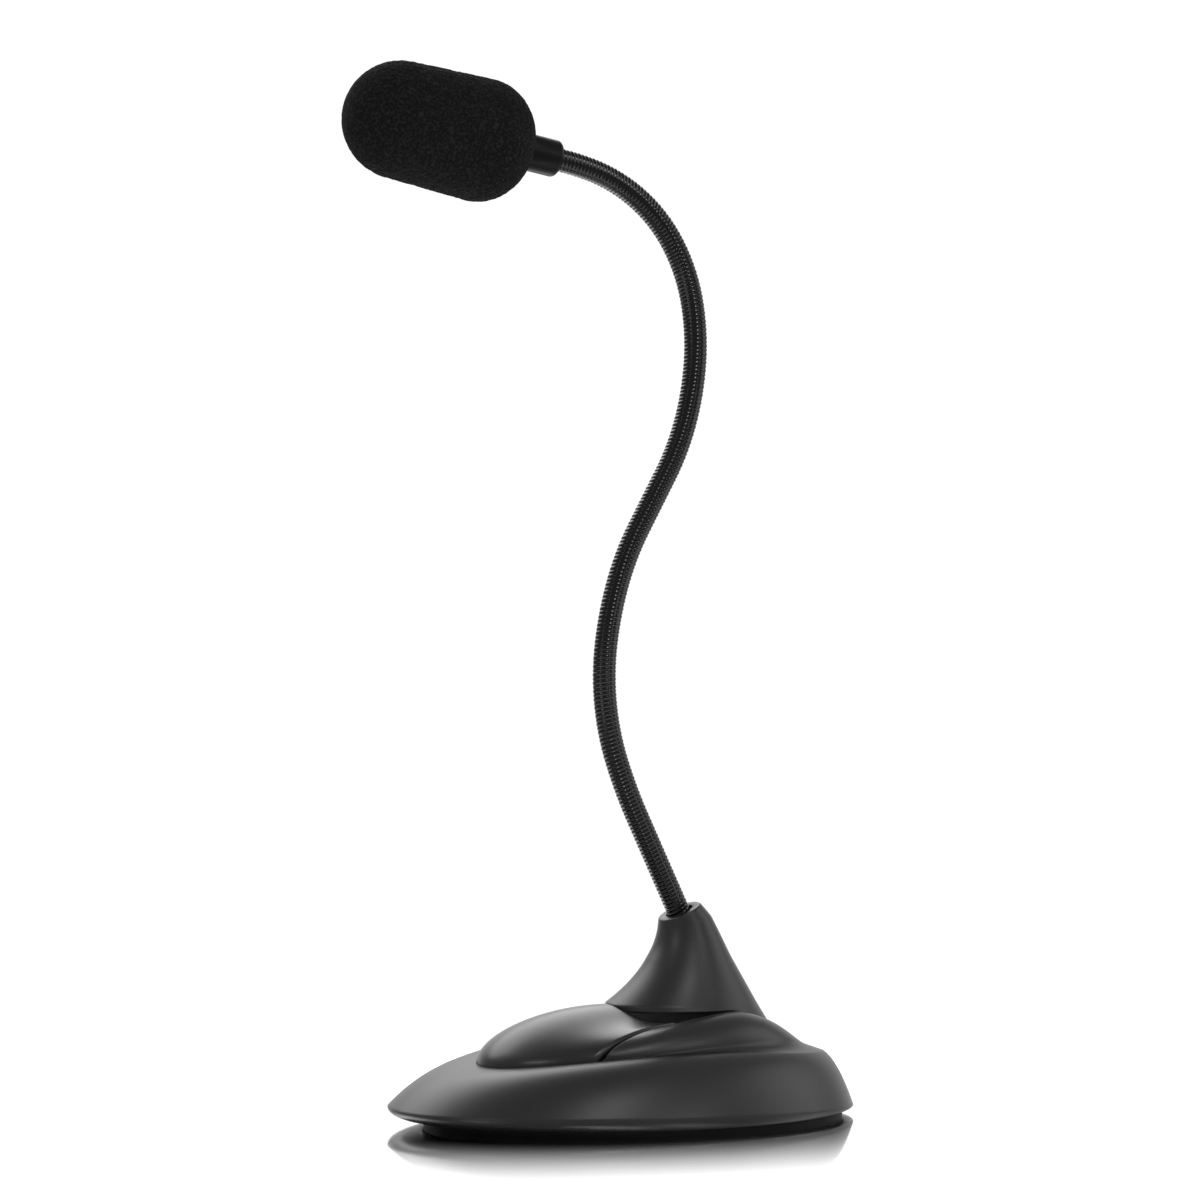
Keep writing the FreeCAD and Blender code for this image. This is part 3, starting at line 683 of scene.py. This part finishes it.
def studio_world():
    """White behind the microphone, as the main camera has it, and dim grey all round the rest.

    The shade follows the cosine of the angle to the direction azimuth 245 degrees, level.
    """
    world = bpy.data.worlds.new("Studio")
    world.use_nodes = True
    nodes, links = world.node_tree.nodes, world.node_tree.links
    where = nodes.new("ShaderNodeTexCoord")
    facing = nodes.new("ShaderNodeVectorMath")
    facing.operation = "DOT_PRODUCT"
    facing.inputs[1].default_value = (-0.9063, 0.4226, 0.0)
    links.new(where.outputs["Generated"], facing.inputs[0])
    shade = nodes.new("ShaderNodeMapRange")
    shade.interpolation_type = "SMOOTHSTEP"
    shade.inputs["From Min"].default_value = 0.55
    shade.inputs["From Max"].default_value = 0.93
    shade.inputs["To Min"].default_value = 0.30
    shade.inputs["To Max"].default_value = 1.04
    links.new(facing.outputs["Value"], shade.inputs["Value"])
    links.new(shade.outputs["Result"], nodes["Background"].inputs["Strength"])
    nodes["Background"].inputs["Color"].default_value = (1, 1, 1, 1)
    return world


def paint(piece, m):
    piece.data.materials.clear()
    piece.data.materials.append(m)


# ---------------------------------------------------------------- operators
class MIC_OT_base(bpy.types.Operator):
    """Build the hollow moulded base with its rear lobes"""
    bl_idname = "mic.base"
    bl_label = "Moulded Base"

    def execute(self, context):
        b, _, c = sizes()
        piece = build_base(b)
        paint(piece, grained("Base Plastic", c.base, c.base_gloss, 2200, 0.10))
        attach(piece, "base")
        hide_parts("base_shell")
        return {"FINISHED"}


class MIC_OT_dome(bpy.types.Operator):
    """Build the front dome that sits between the grooves"""
    bl_idname = "mic.dome"
    bl_label = "Front Dome"

    def execute(self, context):
        b, _, c = sizes()
        piece = build_dome(b)
        paint(piece, grained("Dome Plastic", c.dome, c.base_gloss * 0.8, 2200, 0.05))
        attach(piece, "base")
        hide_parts("front_dome")
        return {"FINISHED"}


class MIC_OT_cone(bpy.types.Operator):
    """Build the leaning cone that carries the neck"""
    bl_idname = "mic.cone"
    bl_label = "Neck Cone"

    def execute(self, context):
        _, _, c = sizes()
        piece = build_cone()
        paint(piece, grained("Cone Plastic", c.base, c.base_gloss * 1.05, 2600, 0.12))
        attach(piece, "base")
        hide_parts("neck_cone")
        return {"FINISHED"}


class MIC_OT_neck(bpy.types.Operator):
    """Build the wound neck: one stretch across each joint"""
    bl_idname = "mic.neck"
    bl_label = "Wound Neck"

    def execute(self, context):
        _, n, c = sizes()
        wire = plain("Neck Wire", c.wire, 0.16, specular=0.4)
        winding = n.pitch, n.radius, n.valley
        cuts = [NECK_STUB + NECK_STEP * (k - 0.5) for k in range(len(HINGES) + 1)]
        root = neck_stretch("neck_winding_00", -NECK_SUNK, cuts[0], *winding)
        end = neck_stretch(f"neck_winding_{len(HINGES) + 1:02d}", cuts[-1], ROUTE[0][-1], *winding)
        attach(root, "base")
        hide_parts("gooseneck_link_00")
        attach(end, "head")
        made = [root, end]
        for k, joint in enumerate(HINGES):
            piece = neck_stretch(f"neck_winding_{k + 1:02d}", cuts[k], cuts[k + 1], *winding)
            start, stop = neck_point(cuts[k])[0], neck_point(cuts[k + 1])[0]
            tuple(start)
            tuple(stop)
            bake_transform(piece)
            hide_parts(f"gooseneck_link_{k + 1:02d}")
            made.append(piece)
        for piece in made:
            paint(piece, wire)
        return {"FINISHED"}


class MIC_OT_head(bpy.types.Operator):
    """Build the microphone barrel with its rounded rear end"""
    bl_idname = "mic.head"
    bl_label = "Barrel"

    def execute(self, context):
        _, n, c = sizes()
        radius, fillet, back, end = n.barrel_radius, 0.0013, 0.0008, 0.030
        turns = np.linspace(0, math.pi / 2, 12)
        profile = [(0.0024, 0.0029), (back, 0.0029)]
        profile += [(back + fillet * (1 - math.sin(t)), radius - fillet * (1 - math.cos(t)))
                    for t in turns[::-1]]
        profile += [(end, radius), (end, radius - 0.001), (0.0025, radius - 0.001)]
        piece = ring_mesh("barrel_tube", turned_grid(profile, 96), flip=True)
        paint(piece, grained("Barrel Lacquer", c.barrel, 0.4, 2600, 0.06, Specular_IOR_Level=0.15))
        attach(piece, "head")
        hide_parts("mic_barrel")
        return {"FINISHED"}


class MIC_OT_windscreen(bpy.types.Operator):
    """Build the foam windscreen"""
    bl_idname = "mic.windscreen"
    bl_label = "Foam Windscreen"

    def execute(self, context):
        _, n, c = sizes()
        piece = build_foam()
        paint(piece, foam_material(c, n.foam_pore))
        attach(piece, "windscreen")
        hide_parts("foam_windscreen")
        return {"FINISHED"}


class MIC_OT_fittings(bpy.types.Operator):
    """Give the plates, screws, pad, grommet, lead and capsule their finishes"""
    bl_idname = "mic.fittings"
    bl_label = "Fittings"

    def execute(self, context):
        _, _, c = sizes()
        finishes = {
            "rubber": grained("Black Rubber", c.rubber, 0.6, 1500, 0.2, Specular_IOR_Level=0.2),
            "lead_jacket": plain("Lead Jacket", c.rubber, 0.5),
            "steel": plain("Zinc Plate", (0.55, 0.56, 0.57), 0.35, 1.0),
            "capsule_metal": plain("Bare Aluminium", (0.75, 0.75, 0.76), 0.3, 1.0),
            "felt": plain("Black Felt", (0.01, 0.01, 0.01), 0.95),
            "board": plain("Printed Board", (0.02, 0.12, 0.05), 0.5),
        }
        slots = {s["node"]: s["material_slot"] for s in frame["record"]["subparts"]}
        for node, piece in frame["nodes"].items():
            if slots[node] in finishes:
                paint(piece, finishes[slots[node]])
        return {"FINISHED"}


class MIC_OT_stage(bpy.types.Operator):
    """Build the floor, the soft lights and the camera"""
    bl_idname = "mic.stage"
    bl_label = "Stage"

    def execute(self, context):
        _, _, c = sizes()
        scene = bpy.context.scene
        half = 6.0
        floor = add_mesh("floor", [(-half, -half, 0), (half, -half, 0), (half, half, 0), (-half, half, 0)],
                         [(0, 1, 2, 3)], smooth=False)
        paint(floor, floor_material(c))
        scene.world = studio_world()
        target = Vector((0, 0, 0.05))
        for name, azimuth, elevation, distance, size, power in LAMPS:
            light = bpy.data.lights.new(name, "AREA")
            light.shape = "RECTANGLE"
            light.size, light.size_y = size
            light.energy = power
            lamp = bpy.data.objects.new(name, light)
            az, el = math.radians(azimuth), math.radians(elevation)
            back = Vector((math.sin(az) * math.cos(el), -math.cos(az) * math.cos(el), math.sin(el)))
            lamp.location = target + back * distance
            lamp.rotation_mode = "QUATERNION"
            lamp.rotation_quaternion = (-back).to_track_quat("-Z", "Y")
            scene.collection.objects.link(lamp)
        camera = bpy.data.objects.new("camera", bpy.data.cameras.new("camera"))
        scene.collection.objects.link(camera)
        scene.camera = camera
        turn, distance, height, shift = math.radians(65), 1.05, 0.12854, -0.00573
        back = Vector((math.sin(turn), -math.cos(turn), 0))
        right = Vector((math.cos(turn), math.sin(turn), 0))
        camera.location = back * distance + right * shift + Vector((0, 0, height))
        camera.rotation_mode = "QUATERNION"
        camera.rotation_quaternion = (-back).to_track_quat("-Z", "Y")
        camera.data.sensor_width = 36
        camera.data.lens = 126.945
        scene.view_settings.view_transform = "Standard"
        return {"FINISHED"}


class MIC_PT_panel(bpy.types.Panel):
    """Buttons for the pieces, and their sizes and colours"""
    bl_idname = "MIC_PT_panel"
    bl_label = "Gooseneck Microphone"
    bl_space_type = "VIEW_3D"
    bl_region_type = "UI"
    bl_category = "Microphone"

    def draw(self, context):
        for piece in OPERATORS:
            self.layout.operator(piece.bl_idname)
        for group in GROUPS:
            owner = getattr(context.scene, group)
            for key in owner.__annotations__:
                self.layout.prop(owner, key)


OPERATORS = (MIC_OT_base, MIC_OT_dome, MIC_OT_cone, MIC_OT_neck, MIC_OT_head, MIC_OT_windscreen,
             MIC_OT_fittings, MIC_OT_stage)
GROUPS = {"mic_base": MicBaseSizes, "mic_neck": MicNeckSizes, "mic_colours": MicColours}
CLASSES = (*GROUPS.values(), *OPERATORS, MIC_PT_panel)


def register():
    for kind in CLASSES:
        bpy.utils.register_class(kind)
    for name, kind in GROUPS.items():
        setattr(bpy.types.Scene, name, bpy.props.PointerProperty(type=kind))


def unregister():
    for name in GROUPS:
        delattr(bpy.types.Scene, name)
    for kind in reversed(CLASSES):
        bpy.utils.unregister_class(kind)


def main():
    register()
    for kind in OPERATORS:
        group, name = kind.bl_idname.split(".")
        getattr(getattr(bpy.ops, group), name)()


if __name__ == "__main__":
    main()
